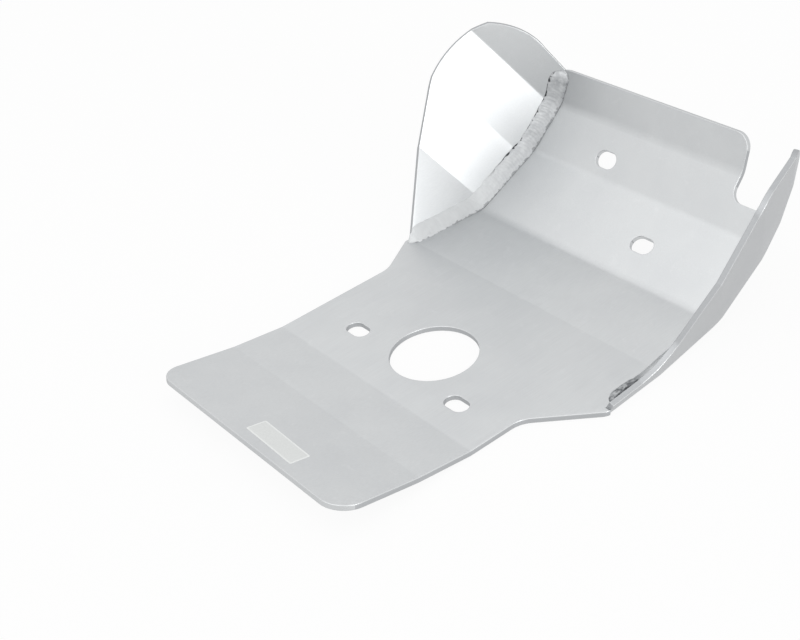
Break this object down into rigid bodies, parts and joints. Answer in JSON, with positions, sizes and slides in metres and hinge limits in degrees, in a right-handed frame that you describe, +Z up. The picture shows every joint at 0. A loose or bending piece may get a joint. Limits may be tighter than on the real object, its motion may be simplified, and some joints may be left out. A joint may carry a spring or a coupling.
{
  "type": "motorcycle skid plate",
  "caption": "Folded aluminium skid plate with a raised tail, ramped nose and flange, welded leaning side wings, a round drain hole and slotted mounting holes.",
  "frame": {"origin": "centre of the drain hole on the underside of the flat belly", "axes": "+Z up square to the flat belly, +Y to the front of the motorcycle, +X to the right side with the notch"},
  "size_m": [0.2594, 0.3163, 0.1108],
  "materials": {
    "mill_aluminium": "satin mill finish with fine rolling grain",
    "weld_aluminium": "rippled weld with darker toes"
  },
  "bodies": {
    "root": {"belly_plate": "mill_aluminium", "left_wing": "mill_aluminium", "right_wing": "mill_aluminium", "left_weld_bead": "weld_aluminium", "right_weld_bead": "weld_aluminium"}
  },
  "joints": []
}
